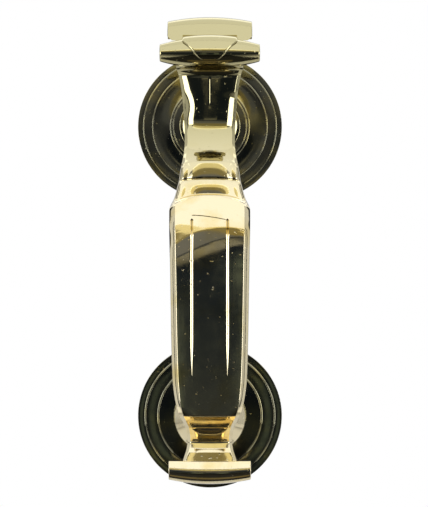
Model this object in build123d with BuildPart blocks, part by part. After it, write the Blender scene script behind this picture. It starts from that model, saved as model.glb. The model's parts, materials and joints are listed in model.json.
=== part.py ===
from build123d import *

import os
from math import cos, radians, sin

# Georgian "doctor's" door knocker in polished brass, on two turned roses with bolt-through fixings.
# Millimetres. Origin at the centre of the top rose, on the door's face. +Z up, front towards -Y.
# "forward" is the distance in front of the door's face, so forward = -Y.

os.makedirs("parts", exist_ok=True)

# ---- driving dimensions -------------------------------------------------------------------------
FIXING_CENTRES = 128.5  # from the top rose down to the bottom rose
DOOR_THICKNESS = 44.0

ROSE_RADIUS = 32.0
ROSE_BORE_RADIUS = 6.0  # the spigots of the bracket and the anvil fill it
ROSE_SEAT = 9.0  # forward of the face that the bracket and the anvil stand on
NUT_RECESS_RADIUS = 10.5
NUT_RECESS_DEPTH = 5.0
THIN_NUT_ACROSS_FLATS = 17.0
THIN_NUT_HEIGHT = 3.5

THREAD_RADIUS = 2.75  # mean radius of the M6 thread
SHANK_RADIUS = 3.0
THREAD_DEPTH = 12.0  # how far a stud screws in, forward of the door's face
WASHER_RADIUS = 9.0
WASHER_THICKNESS = 1.6
DOME_NUT_ACROSS_FLATS = 10.0
DOME_NUT_HEX_HEIGHT = 5.0
DOME_RADIUS = 4.6
STUD_TAIL = 7.0  # of thread past the washer, inside the dome nut

LOCATING_PIN_RADIUS = 1.5
LOCATING_PIN_SEAT_RADIUS = 2.0  # of the thicker end that is pressed into the rose
LOCATING_PIN_OUT = 3.0  # how far a locating pin stands into the door
LOCATING_PIN_IN = 2.0
LOCATING_PIN_DROP = 24.0  # below a rose's centre

PIVOT_FORWARD = 45.0
PIVOT_UP = 28.8
HINGE_ROLL = dict(half_width=21.3, middle_radius=7.3, end_radius=3.6)
ROLL_GAP = 0.35  # between the turning roll and the bracket round it
LEAF_THICKNESS = 1.0
LEAF_TIP_ANGLE = -31.0  # all angles about the pin: 0 is straight forward, 90 is up
LEAF_TIP_HALF_WIDTH = 6.0  # where the rounded tip runs into the straight sides
LEAF_TIP_HEIGHT = 2.7
LEAF_TOP_HALF_WIDTH = 11.8
LEAF_SIDES_TOP = 7.0  # above the pin's axis, where the straight sides end
SLOT_FRONT_ANGLE = -10.0
SLOT_BACK_ANGLE = 205.0
SLOT_HALF_WIDTH = 5.0
WEB_FRONT_ANGLE = 54.0
WEB_BACK_ANGLE = 195.0
WEB_HALF_WIDTH = 4.7
LUG_RADIUS = 4.5
LUG_HALF_WIDTH = 4.0
LUG_POCKET_RADIUS = 4.8
HINGE_WASHER_THICKNESS = 0.9
PIN_RADIUS = 2.0
PIN_CLEARANCE = 0.06
PIN_HALF_LENGTH = 19.3
SET_SCREW_RADIUS = 1.5
SET_SCREW_OFFSET = 12.0  # from the middle of the roll
SET_SCREW_TOP = 5.2  # from the pin's axis, just under the roll's surface there
SET_SCREW_SOCKET = 1.5  # across flats
SET_SCREW_SOCKET_DEPTH = 1.2

SCROLL_FORWARD = 31.5
SCROLL_UP = 37.2
SCROLL = dict(half_width=18.2, middle_radius=8.3, end_radius=6.4)
SCROLL_UNDERSIDE = 35.0  # height of the flat cut under the scroll, at the front
SCROLL_UNDERSIDE_RISE = 4.0  # of that flat, towards the door
SCROLL_CUT_REACH = 12.0  # of the block that cuts it, forward, backward and down
ARM_HALF_WIDTH = 8.0
BOSS_RADIUS = 13.4
BOSS_RIM = 1.6  # thickness of the boss at its rim
BOSS_HEIGHT = 6.5

NECK_TOP = PIVOT_UP - 4  # inside the hinge roll
NECK_TOP_HALF_WIDTH = 14.2
NECK_HALF_WIDTH = 10.8
COVE_HALF_WIDTH = 12.8
GRIP_TOP = -33.0
GRIP_TOP_HALF_WIDTH = 14.8
GRIP_SHOULDER = -37.8
SHOULDER_HALF_WIDTH = 17.1
GRIP_CROWN_END = -48.0
GRIP_FORWARD = 62.0
GRIP_TAPER_END = -110.0
GRIP_END = -124.3
GRIP_END_HALF_WIDTH = 15.6
GRIP_END_FORWARD = 60.0
GRIP_BEVEL = 2.6
GROOVE_TOP = -41.0
GROOVE_TOP_FORWARD = 61.3  # of the crowned face, where the grooves start
GROOVE_BOTTOM = -112.0
GROOVE_HALF_SPACING = 7.5
GROOVE_DEPTH = 0.7
GROOVE_WIDTH = 1.0
LOWER_NECK_END = -143.6  # inside the foot roll

FOOT_FORWARD = 48.0
FOOT_UP = -148.3
FOOT_ROLL = dict(half_width=17.4, middle_radius=6.4, end_radius=4.0)

ANVIL_FLANGE_RADIUS = 15.6
ANVIL_HEAD_RADIUS = 8.4
STRIKE_FORWARD = 24.0  # where the striker meets the anvil
STRIKER_RADIUS = 7.5
STRIKER_SEAT = 33.0
STRIKER_SPIGOT_RADIUS = 3.0
STRIKER_SPIGOT_DEPTH = 9.0

SPIGOT_END = NUT_RECESS_DEPTH - THIN_NUT_HEIGHT - 1  # the spigots come 1 mm past the thin nuts
LEAF_TIP_UP = PIVOT_UP + (HINGE_ROLL["middle_radius"] + ROLL_GAP) * sin(radians(LEAF_TIP_ANGLE))
FIXINGS = {"top": 0.0, "bottom": -FIXING_CENTRES}

SIDE = Plane(origin=(0, 0, 0), x_dir=(0, -1, 0), z_dir=(-1, 0, 0))  # local (forward, up)
FRONT = Plane.XZ  # local (across, up)
PIVOT_SIDE = SIDE.shift_origin((0, -PIVOT_FORWARD, PIVOT_UP))
SET_SCREW_PLANE = Plane(origin=(0, -PIVOT_FORWARD, PIVOT_UP), x_dir=(1, 0, 0), z_dir=(0, 1, 0))


def turning_plane(up):
    """A plane through a rose's axis at the given height: local (radius, forward)."""
    return Plane(origin=(0, 0, up), x_dir=(1, 0, 0), z_dir=(0, 0, -1))


def rose_axis(up):
    return Axis((0, 0, up), (0, -1, 0))


def door_plane(forward, up):
    """A plane parallel to the door, looking forward: local (across, up)."""
    return Plane(origin=(0, -forward, up), x_dir=(1, 0, 0), z_dir=(0, -1, 0))


def barrel(forward, up, half_width, middle_radius, end_radius):
    """A crowned roll lying along X, with flat ends."""
    with BuildPart() as roll:
        with BuildSketch(door_plane(forward, up)):
            with BuildLine():
                crown = ThreePointArc((-half_width, end_radius), (0, middle_radius), (half_width, end_radius))
                Polyline(crown @ 1, (half_width, 0), (-half_width, 0), crown @ 0)
            make_face()
        revolve(axis=Axis((0, -forward, up), (1, 0, 0)))
    return roll.part


def grown(roll, growth):
    """The same roll with every radius larger."""
    return {
        "half_width": roll["half_width"] + growth,
        "middle_radius": roll["middle_radius"] + growth,
        "end_radius": roll["end_radius"] + growth,
    }


def sector(start_angle, end_angle, radius, half_width):
    """A wedge of a disc about the hinge pin, from one angle to another."""
    middle_angle = (start_angle + end_angle) / 2
    rim = [
        (radius * cos(radians(angle)), radius * sin(radians(angle)))
        for angle in (start_angle, middle_angle, end_angle)
    ]
    with BuildPart() as wedge:
        with BuildSketch(PIVOT_SIDE):
            with BuildLine():
                ThreePointArc(*rim)
                Polyline(rim[2], (0, 0), rim[0])
            make_face()
        extrude(amount=half_width, both=True)
    return wedge.part


# ---- roses --------------------------------------------------------------------------------------
with BuildPart() as top_rose:
    with BuildSketch(turning_plane(0)):
        with BuildLine():
            rim = Polyline((ROSE_BORE_RADIUS, 0), (ROSE_RADIUS, 0), (ROSE_RADIUS, 2.7), (29.8, 2.7))
            outer_step = ThreePointArc(rim @ 1, (29.5, 2.9), (29.3, 3.6))
            outer_ring = Line(outer_step @ 1, (25.7, 3.6))
            inner_step = ThreePointArc(outer_ring @ 1, (25.35, 3.8), (25.2, 4.5))
            dish = ThreePointArc(inner_step @ 1, (21.5, 4.35), (17.7, 4.75))
            dish_step = ThreePointArc(dish @ 1, (17.4, 5.0), (17.3, 5.5))
            inner_ring = Polyline(dish_step @ 1, (17.3, 7.6), (16.4, 7.6))
            seat_edge = ThreePointArc(inner_ring @ 1, (16.1, 8.0), (16.0, ROSE_SEAT))
            Polyline(seat_edge @ 1, (ROSE_BORE_RADIUS, ROSE_SEAT), rim @ 0)
        make_face()
    revolve(axis=rose_axis(0))
    with BuildSketch(door_plane(0, 0)):
        Circle(NUT_RECESS_RADIUS)
    extrude(amount=NUT_RECESS_DEPTH, mode=Mode.SUBTRACT)
    with BuildSketch(door_plane(0, -LOCATING_PIN_DROP)):
        Circle(LOCATING_PIN_SEAT_RADIUS)
    extrude(amount=LOCATING_PIN_IN, mode=Mode.SUBTRACT)

with BuildPart() as bottom_rose:
    with BuildSketch(turning_plane(-FIXING_CENTRES)):
        with BuildLine():
            rim = Polyline((ROSE_BORE_RADIUS, 0), (ROSE_RADIUS, 0), (ROSE_RADIUS, 2.5), (29.1, 2.6))
            outer_step = ThreePointArc(rim @ 1, (28.65, 2.85), (28.4, 3.6))
            outer_ring = Line(outer_step @ 1, (23.4, 3.7))
            inner_step = ThreePointArc(outer_ring @ 1, (22.9, 3.95), (22.6, 4.7))
            Polyline(
                inner_step @ 1, (15.9, 4.9), (15.8, ROSE_SEAT), (ROSE_BORE_RADIUS, ROSE_SEAT), rim @ 0
            )
        make_face()
    revolve(axis=rose_axis(-FIXING_CENTRES))
    with BuildSketch(door_plane(0, -FIXING_CENTRES)):
        Circle(NUT_RECESS_RADIUS)
    extrude(amount=NUT_RECESS_DEPTH, mode=Mode.SUBTRACT)
    with BuildSketch(door_plane(0, -FIXING_CENTRES - LOCATING_PIN_DROP)):
        Circle(LOCATING_PIN_SEAT_RADIUS)
    extrude(amount=LOCATING_PIN_IN, mode=Mode.SUBTRACT)

# ---- hinge bracket: boss and spigot, gooseneck arm, back scroll, leaf over the hinge roll --------
with BuildPart() as scroll:
    add(barrel(SCROLL_FORWARD, SCROLL_UP, **SCROLL))
    with BuildSketch(SIDE):
        Polygon(
            (SCROLL_FORWARD - SCROLL_CUT_REACH, SCROLL_UNDERSIDE + SCROLL_UNDERSIDE_RISE),
            (SCROLL_FORWARD + SCROLL_CUT_REACH, SCROLL_UNDERSIDE),
            (SCROLL_FORWARD + SCROLL_CUT_REACH, SCROLL_UNDERSIDE - SCROLL_CUT_REACH),
            (SCROLL_FORWARD - SCROLL_CUT_REACH, SCROLL_UNDERSIDE - SCROLL_CUT_REACH),
            align=None,
        )
    extrude(amount=SCROLL["half_width"] + 1, both=True, mode=Mode.SUBTRACT)

roll_space = barrel(PIVOT_FORWARD, PIVOT_UP, **grown(HINGE_ROLL, ROLL_GAP))
leaf_skin = barrel(PIVOT_FORWARD, PIVOT_UP, **grown(HINGE_ROLL, ROLL_GAP + LEAF_THICKNESS))
web = sector(WEB_FRONT_ANGLE, WEB_BACK_ANGLE, HINGE_ROLL["middle_radius"] + 1, WEB_HALF_WIDTH)
lug_space = sector(0, 180, LUG_RADIUS, WEB_HALF_WIDTH) + sector(180, 360, LUG_RADIUS, WEB_HALF_WIDTH)

with BuildPart() as leaf:
    with BuildSketch(door_plane(PIVOT_FORWARD - 8, 0)):
        with BuildLine():
            tip = ThreePointArc(
                (-LEAF_TIP_HALF_WIDTH, LEAF_TIP_UP + LEAF_TIP_HEIGHT),
                (0, LEAF_TIP_UP),
                (LEAF_TIP_HALF_WIDTH, LEAF_TIP_UP + LEAF_TIP_HEIGHT),
            )
            Polyline(
                tip @ 1,
                (LEAF_TOP_HALF_WIDTH, PIVOT_UP + LEAF_SIDES_TOP),
                (LEAF_TOP_HALF_WIDTH, PIVOT_UP + 12),
                (-LEAF_TOP_HALF_WIDTH, PIVOT_UP + 12),
                (-LEAF_TOP_HALF_WIDTH, PIVOT_UP + LEAF_SIDES_TOP),
                tip @ 0,
            )
        make_face()
    extrude(amount=20)
    add(leaf_skin, mode=Mode.INTERSECT)

with BuildPart() as hinge_bracket:
    with BuildSketch(turning_plane(0)):
        with BuildLine():
            foot = Polyline(
                (0, SPIGOT_END),
                (ROSE_BORE_RADIUS, SPIGOT_END),
                (ROSE_BORE_RADIUS, ROSE_SEAT),
                (BOSS_RADIUS, ROSE_SEAT),
                (BOSS_RADIUS, ROSE_SEAT + BOSS_RIM),
            )
            shoulder = ThreePointArc(foot @ 1, (9.6, ROSE_SEAT + 3.0), (8.2, ROSE_SEAT + BOSS_HEIGHT))
            Polyline(shoulder @ 1, (0, ROSE_SEAT + BOSS_HEIGHT), foot @ 0)
        make_face()
    revolve(axis=rose_axis(0))
    with BuildSketch(SIDE):
        with BuildLine():
            front = Spline(
                (12.0, -7.5), (24.0, -2.5), (31.5, 12.0), (36.0, 24.0), tangents=((1, 0), (0.3, 1))
            )
            top = Polyline(
                front @ 1,
                (PIVOT_FORWARD - 5, PIVOT_UP),
                (PIVOT_FORWARD - 5, PIVOT_UP + 8),
                (34.0, SCROLL_UP + 5),
                (28.5, SCROLL_UP + 4),
            )
            back = Spline(
                top @ 1,
                (26.5, 30.0),
                (20.5, 15.0),
                (12.0, 7.5),
                tangents=((-0.3, -1), (-1, 0)),
            )
            Line(back @ 1, front @ 0)
        make_face()
    extrude(amount=ARM_HALF_WIDTH, both=True)
    with BuildSketch(SIDE):
        Polygon((32, 33), (39, 31), (41.5, PIVOT_UP + 8.4), (36.5, SCROLL_UP), align=None)
    extrude(amount=LEAF_TOP_HALF_WIDTH, both=True)
    add(scroll.part)
    add(leaf.part)
    add(roll_space, mode=Mode.SUBTRACT)
    add(web)
    add(lug_space, mode=Mode.SUBTRACT)
    with BuildSketch(PIVOT_SIDE):
        Circle(LUG_RADIUS)
    extrude(amount=LUG_HALF_WIDTH, both=True)
    with BuildSketch(PIVOT_SIDE):
        Circle(PIN_RADIUS + PIN_CLEARANCE)
    extrude(amount=HINGE_ROLL["half_width"], both=True, mode=Mode.SUBTRACT)
    with BuildSketch(door_plane(0, 0)):
        Circle(THREAD_RADIUS)
    extrude(amount=THREAD_DEPTH, mode=Mode.SUBTRACT)


# ---- anvil: a turned pedestal on the bottom rose that the handle strikes --------------------------
with BuildPart() as anvil:
    with BuildSketch(turning_plane(-FIXING_CENTRES)):
        with BuildLine():
            foot = Polyline(
                (0, SPIGOT_END),
                (ROSE_BORE_RADIUS, SPIGOT_END),
                (ROSE_BORE_RADIUS, ROSE_SEAT),
                (ANVIL_FLANGE_RADIUS, ROSE_SEAT),
                (ANVIL_FLANGE_RADIUS, ROSE_SEAT + 0.4),
                (9.4, ROSE_SEAT + 6.2),
            )
            waist = ThreePointArc(foot @ 1, (7.6, ROSE_SEAT + 8.0), (6.9, ROSE_SEAT + 10.0))
            collar = ThreePointArc(
                waist @ 1, (ANVIL_HEAD_RADIUS, STRIKE_FORWARD - 3.4), (8.0, STRIKE_FORWARD - 1.5)
            )
            dome = TangentArc((0, STRIKE_FORWARD), collar @ 1, tangent=(1, 0))
            Line(dome @ 0, foot @ 0)
        make_face()
    revolve(axis=rose_axis(-FIXING_CENTRES))
    with BuildSketch(door_plane(0, -FIXING_CENTRES)):
        Circle(THREAD_RADIUS)
    extrude(amount=THREAD_DEPTH, mode=Mode.SUBTRACT)

# ---- fixings: thin nuts behind the roses, studs through the door, washers and dome nuts inside ----
fixings = []
for place, up in FIXINGS.items():
    with BuildPart() as thin_nut:
        with BuildSketch(door_plane(NUT_RECESS_DEPTH - THIN_NUT_HEIGHT, up)):
            RegularPolygon(THIN_NUT_ACROSS_FLATS / 2, 6, major_radius=False)
            Circle(ROSE_BORE_RADIUS, mode=Mode.SUBTRACT)
        extrude(amount=THIN_NUT_HEIGHT)
    thin_nut.part.label = f"{place}_rose_nut"

    with BuildPart() as stud:
        with BuildSketch(door_plane(-DOOR_THICKNESS, up)):
            Circle(SHANK_RADIUS)
        extrude(amount=DOOR_THICKNESS)
        with BuildSketch(door_plane(-DOOR_THICKNESS - WASHER_THICKNESS - STUD_TAIL, up)):
            Circle(THREAD_RADIUS)
        extrude(amount=DOOR_THICKNESS + WASHER_THICKNESS + STUD_TAIL + THREAD_DEPTH)
        chamfer(stud.edges().filter_by(GeomType.CIRCLE).sort_by(Axis.Y)[0], length=0.6)
    stud.part.label = f"{place}_fixing_stud"

    with BuildPart() as washer:
        with BuildSketch(door_plane(-DOOR_THICKNESS - WASHER_THICKNESS, up)):
            Circle(WASHER_RADIUS)
            Circle(SHANK_RADIUS + 0.2, mode=Mode.SUBTRACT)
        extrude(amount=WASHER_THICKNESS)
    washer.part.label = f"{place}_door_washer"

    nut_seat = -DOOR_THICKNESS - WASHER_THICKNESS
    with BuildPart() as dome_nut:
        with BuildSketch(door_plane(nut_seat - DOME_NUT_HEX_HEIGHT, up)):
            RegularPolygon(DOME_NUT_ACROSS_FLATS / 2, 6, major_radius=False)
        extrude(amount=DOME_NUT_HEX_HEIGHT)
        with BuildSketch(turning_plane(up)):
            with BuildLine():
                dome_base = nut_seat - DOME_NUT_HEX_HEIGHT
                dome_arc = ThreePointArc(
                    (DOME_RADIUS, dome_base),
                    (DOME_RADIUS * cos(radians(45)), dome_base - DOME_RADIUS * sin(radians(45))),
                    (0, dome_base - DOME_RADIUS),
                )
                Polyline(dome_arc @ 1, (0, dome_base), dome_arc @ 0)
            make_face()
        revolve(axis=rose_axis(up))
        with BuildSketch(door_plane(nut_seat - STUD_TAIL, up)):
            Circle(THREAD_RADIUS)
        extrude(amount=STUD_TAIL, mode=Mode.SUBTRACT)
    dome_nut.part.label = f"{place}_dome_nut"
    fixings += [thin_nut.part, stud.part, washer.part, dome_nut.part]

with BuildPart() as locating_pins:
    for up in FIXINGS.values():
        with BuildSketch(door_plane(0, up - LOCATING_PIN_DROP)):
            Circle(LOCATING_PIN_SEAT_RADIUS)
        extrude(amount=LOCATING_PIN_IN)
        with BuildSketch(door_plane(0, up - LOCATING_PIN_DROP)):
            Circle(LOCATING_PIN_RADIUS)
        extrude(amount=-LOCATING_PIN_OUT)

# ---- hinge: pin, end plugs, thrust washers and the set screws that hold the pin --------------------
with BuildPart() as hinge_pin:
    with BuildSketch(PIVOT_SIDE):
        Circle(PIN_RADIUS)
    extrude(amount=PIN_HALF_LENGTH, both=True)
    chamfer(hinge_pin.edges().filter_by(GeomType.CIRCLE), length=0.3)

with BuildPart() as pin_plugs:
    for side in (-1, 1):
        with BuildSketch(PIVOT_SIDE.offset(side * HINGE_ROLL["half_width"])):
            Circle(PIN_RADIUS)
        extrude(amount=-side * (HINGE_ROLL["half_width"] - PIN_HALF_LENGTH))

with BuildPart() as hinge_washers:
    for side in (-1, 1):
        with BuildSketch(PIVOT_SIDE.offset(side * LUG_HALF_WIDTH)):
            Circle(LUG_RADIUS - 0.3)
            Circle(PIN_RADIUS + PIN_CLEARANCE, mode=Mode.SUBTRACT)
        extrude(amount=side * HINGE_WASHER_THICKNESS)

with BuildPart() as set_screws:
    with BuildSketch(SET_SCREW_PLANE.offset(PIN_RADIUS)):
        with Locations((-SET_SCREW_OFFSET, 0), (SET_SCREW_OFFSET, 0)):
            Circle(SET_SCREW_RADIUS)
    extrude(amount=SET_SCREW_TOP - PIN_RADIUS)
    with BuildSketch(SET_SCREW_PLANE.offset(SET_SCREW_TOP)):
        with Locations((-SET_SCREW_OFFSET, 0), (SET_SCREW_OFFSET, 0)):
            RegularPolygon(SET_SCREW_SOCKET / 2, 6, major_radius=False)
    extrude(amount=-SET_SCREW_SOCKET_DEPTH, mode=Mode.SUBTRACT)

# ---- handle: one casting with hinge roll, neck, bead, panelled grip, lower neck and foot roll ------
hinge_roll = barrel(PIVOT_FORWARD, PIVOT_UP, **HINGE_ROLL)
foot_roll = barrel(FOOT_FORWARD, FOOT_UP, **FOOT_ROLL)
slot = sector(SLOT_FRONT_ANGLE, SLOT_BACK_ANGLE, HINGE_ROLL["middle_radius"] + 6, SLOT_HALF_WIDTH)

bevel_cutters = []
for side in (-1, 1):
    with BuildPart() as bevel_cutter:
        for up, half_width, forward in (
            (GRIP_SHOULDER + 10, SHOULDER_HALF_WIDTH, GRIP_FORWARD),
            (GRIP_END - 5, GRIP_END_HALF_WIDTH, GRIP_END_FORWARD),
        ):
            with BuildSketch(Plane.XY.offset(up)):
                Polygon(
                    (side * (half_width - GRIP_BEVEL - 2), -forward - 2),
                    (side * (half_width + 2), -forward + GRIP_BEVEL + 2),
                    (side * (half_width + 4), -forward - 4),
                    align=None,
                )
        loft()
    bevel_cutters.append(bevel_cutter.part)

with BuildPart() as handle:
    with BuildSketch(SIDE):
        with BuildLine():
            neck_front = Line((43.0, NECK_TOP), (42.0, -1.0))
            sweep = ThreePointArc(neck_front @ 1, (44.8, -11.4), (51.8, -17.0))
            bead = ThreePointArc(sweep @ 1, (54.6, -20.2), (52.8, -23.6))
            cove = ThreePointArc(bead @ 1, (53.9, -29.0), (57.0, GRIP_TOP))
            crown = ThreePointArc(cove @ 1, (60.4, -40.0), (GRIP_FORWARD, GRIP_CROWN_END))
            face = Line(crown @ 1, (GRIP_END_FORWARD, GRIP_END))
            under = ThreePointArc(face @ 1, (57.2, -127.4), (53.0, -129.4))
            step = Line(under @ 1, (52.2, -130.0))
            hollow = ThreePointArc(step @ 1, (46.6, -136.6), (47.6, -143.5))
            back = Polyline(
                hollow @ 1,
                (45.0, FOOT_UP + 2),
                (42.0, -141.0),
                (STRIKER_SEAT, -137.0),
                (STRIKER_SEAT, -120.0),
                (44.0, -106.0),
                (46.0, -50.0),
                (43.0, -34.0),
                (36.0, -18.0),
            )
            neck_back = Spline(back @ 1, (33.0, 0.0), (37.9, NECK_TOP))
            Line(neck_back @ 1, neck_front @ 0)
        make_face()
    extrude(amount=SHOULDER_HALF_WIDTH + 2, both=True)
    with BuildSketch(FRONT):
        with BuildLine():
            neck_edge = ThreePointArc((NECK_TOP_HALF_WIDTH, NECK_TOP), (11.5, 6.0), (NECK_HALF_WIDTH, -8.0))
            flare = ThreePointArc(neck_edge @ 1, (11.4, -16.0), (COVE_HALF_WIDTH, -24.0))
            cove_edge = ThreePointArc(flare @ 1, (13.6, -29.0), (GRIP_TOP_HALF_WIDTH, GRIP_TOP))
            grip_edge = Polyline(
                cove_edge @ 1,
                (SHOULDER_HALF_WIDTH, GRIP_SHOULDER),
                (GRIP_END_HALF_WIDTH, GRIP_TAPER_END),
            )
            taper = Spline(
                grip_edge @ 1,
                (13.6, -122.2),
                (10.9, -128.5),
                (9.5, -134.5),
                (9.9, -139.8),
                (13.0, LOWER_NECK_END),
            )
            Polyline(taper @ 1, (0, LOWER_NECK_END), (0, NECK_TOP), neck_edge @ 0)
        make_face()
        mirror(about=Plane.YZ)
    extrude(amount=GRIP_FORWARD + 10, mode=Mode.INTERSECT)
    add(bevel_cutters, mode=Mode.SUBTRACT)
    for groove_place in (-GROOVE_HALF_SPACING, GROOVE_HALF_SPACING):
        with BuildSketch(SIDE.offset(groove_place)):
            Polygon(
                (GRIP_FORWARD + 1, GROOVE_TOP),
                (GROOVE_TOP_FORWARD - GROOVE_DEPTH, GROOVE_TOP),
                (GRIP_FORWARD - GROOVE_DEPTH, GRIP_CROWN_END),
                (GRIP_FORWARD, GROOVE_BOTTOM),
                (GRIP_FORWARD + 1, GROOVE_BOTTOM),
                align=None,
            )
        extrude(amount=GROOVE_WIDTH / 2, both=True, mode=Mode.SUBTRACT)
    add(hinge_roll)
    add(foot_roll)
    add(slot, mode=Mode.SUBTRACT)
    with BuildSketch(PIVOT_SIDE):
        Circle(LUG_POCKET_RADIUS)
    extrude(amount=SLOT_HALF_WIDTH, both=True, mode=Mode.SUBTRACT)
    with BuildSketch(PIVOT_SIDE):
        Circle(PIN_RADIUS)
    extrude(amount=HINGE_ROLL["half_width"], both=True, mode=Mode.SUBTRACT)
    with BuildSketch(SET_SCREW_PLANE):
        with Locations((-SET_SCREW_OFFSET, 0), (SET_SCREW_OFFSET, 0)):
            Circle(SET_SCREW_RADIUS)
    extrude(amount=HINGE_ROLL["middle_radius"] + 1, mode=Mode.SUBTRACT)
    with BuildSketch(door_plane(STRIKER_SEAT, -FIXING_CENTRES)):
        Circle(STRIKER_SPIGOT_RADIUS)
    extrude(amount=STRIKER_SPIGOT_DEPTH, mode=Mode.SUBTRACT)

with BuildPart() as striker_button:
    with BuildSketch(turning_plane(-FIXING_CENTRES)):
        with BuildLine():
            face_arc = TangentArc((0, STRIKE_FORWARD), (STRIKER_RADIUS, 26.0), tangent=(1, 0))
            Polyline(
                face_arc @ 1,
                (STRIKER_RADIUS, STRIKER_SEAT),
                (STRIKER_SPIGOT_RADIUS, STRIKER_SEAT),
                (STRIKER_SPIGOT_RADIUS, STRIKER_SEAT + STRIKER_SPIGOT_DEPTH),
                (0, STRIKER_SEAT + STRIKER_SPIGOT_DEPTH),
                face_arc @ 0,
            )
        make_face()
    revolve(axis=rose_axis(-FIXING_CENTRES))

# ---- labels and files -----------------------------------------------------------------------------
top_rose.part.label = "top_rose"
bottom_rose.part.label = "bottom_rose"
hinge_bracket.part.label = "hinge_bracket"
anvil.part.label = "anvil"
locating_pins.part.label = "locating_pins"
hinge_pin.part.label = "hinge_pin"
pin_plugs.part.label = "pin_plugs"
hinge_washers.part.label = "hinge_washers"
set_screws.part.label = "pin_set_screws"
handle.part.label = "handle"
striker_button.part.label = "striker_button"

turned_and_cast = [top_rose, bottom_rose, hinge_bracket, anvil, locating_pins, handle, striker_button]
hinge_parts = [hinge_pin, pin_plugs, hinge_washers, set_screws]
pieces = [piece.part for piece in turned_and_cast + hinge_parts] + fixings
for piece in pieces:
    export_step(piece, f"parts/{piece.label}.step")
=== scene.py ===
import json
import math

import bmesh
import bpy
import numpy as np
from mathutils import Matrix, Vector


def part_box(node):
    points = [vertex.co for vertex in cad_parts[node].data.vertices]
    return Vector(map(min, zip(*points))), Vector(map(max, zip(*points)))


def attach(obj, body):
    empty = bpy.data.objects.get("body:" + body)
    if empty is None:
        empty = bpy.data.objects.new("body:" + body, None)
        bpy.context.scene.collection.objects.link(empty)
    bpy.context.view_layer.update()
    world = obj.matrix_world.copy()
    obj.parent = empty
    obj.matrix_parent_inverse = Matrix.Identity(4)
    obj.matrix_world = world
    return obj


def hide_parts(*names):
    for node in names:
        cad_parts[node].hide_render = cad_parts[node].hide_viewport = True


# A polished-brass doctor's door knocker. Shapes are worked out in millimetres as (across, forward, up),
# where forward is the distance in front of the door's face, and written to meshes in metres.

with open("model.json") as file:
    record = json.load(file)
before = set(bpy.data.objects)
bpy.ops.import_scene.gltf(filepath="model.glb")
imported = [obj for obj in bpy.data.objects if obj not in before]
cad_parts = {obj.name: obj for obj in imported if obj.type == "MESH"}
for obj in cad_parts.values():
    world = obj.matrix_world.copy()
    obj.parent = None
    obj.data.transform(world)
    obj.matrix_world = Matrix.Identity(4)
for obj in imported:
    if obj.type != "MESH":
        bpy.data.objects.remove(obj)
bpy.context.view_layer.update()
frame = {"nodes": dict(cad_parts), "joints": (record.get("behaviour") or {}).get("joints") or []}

MM = 0.001
joint = frame["joints"][0]
PIVOT_FORWARD = -joint["pos_m"][1] / MM
PIVOT_UP = joint["pos_m"][2] / MM
ROSE_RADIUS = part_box("top_rose")[1].x / MM
FIXING_CENTRES = (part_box("top_rose")[1].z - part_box("bottom_rose")[1].z) / MM
ROSE_SEAT = 9.0  # forward of the door's face: what the bracket and the anvil stand on
HINGE_HALF_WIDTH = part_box("handle")[1].x / MM
SCROLL_HALF_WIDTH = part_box("hinge_bracket")[1].x / MM

SHARP_ANGLE = 38.0  # degrees: an edge that turns more than this is shaded as a real edge
CORNER_ANGLE = 18.0  # degrees: a corner of an outline that turns more than this is rounded off
TINY = 1e-4  # the radius that stands for a point on an axis
SAME_POINT = 2e-6  # metres: points closer together than this are made one
NO_LENGTH = 1e-6  # metres: edges shorter than this are dissolved


# ---- outlines -------------------------------------------------------------------------------------
def arc(start, through, end, count):
    """Points of the circular arc through three points, without the first one."""
    a, b, c = (np.array(p, float) for p in (start, through, end))
    d = 2 * (a[0] * (b[1] - c[1]) + b[0] * (c[1] - a[1]) + c[0] * (a[1] - b[1]))
    squares = [p @ p for p in (a, b, c)]
    centre = np.array([
        squares[0] * (b[1] - c[1]) + squares[1] * (c[1] - a[1]) + squares[2] * (a[1] - b[1]),
        squares[0] * (c[0] - b[0]) + squares[1] * (a[0] - c[0]) + squares[2] * (b[0] - a[0]),
    ]) / d
    radius = np.linalg.norm(a - centre)
    angles = [math.atan2(*(p - centre)[::-1]) for p in (a, b, c)]
    sweep = (angles[2] - angles[0]) % math.tau
    if (angles[1] - angles[0]) % math.tau > sweep:
        sweep -= math.tau
    turns = angles[0] + sweep * np.arange(1, count + 1) / count
    return [tuple(centre + radius * np.array([math.cos(t), math.sin(t)])) for t in turns]


def round_corner(before, corner, after, radius, count=4):
    """A small curve that takes the place of a corner, reaching radius back along both sides."""
    before, corner, after = (np.array(p, float) for p in (before, corner, after))
    to_before = before - corner
    to_after = after - corner
    lengths = np.linalg.norm(to_before), np.linalg.norm(to_after)
    start = corner + to_before / lengths[0] * min(radius, 0.45 * lengths[0])
    end = corner + to_after / lengths[1] * min(radius, 0.45 * lengths[1])
    shares = np.linspace(0, 1, count + 1)[:, None]
    return list((1 - shares) ** 2 * start + 2 * shares * (1 - shares) * corner + shares**2 * end)


def softened(points, radius):
    """The outline with every real corner rounded off."""
    points = [np.array(p, float) for p in points]
    out = [points[0]]
    for before, corner, after in zip(points[:-2], points[1:-1], points[2:]):
        first, second = corner - before, after - corner
        cosine = first @ second / (np.linalg.norm(first) * np.linalg.norm(second) + 1e-12)
        if math.degrees(math.acos(max(-1.0, min(1.0, cosine)))) > CORNER_ANGLE:
            out += round_corner(before, corner, after, radius)
        else:
            out.append(corner)
    out.append(points[-1])
    return out


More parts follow.
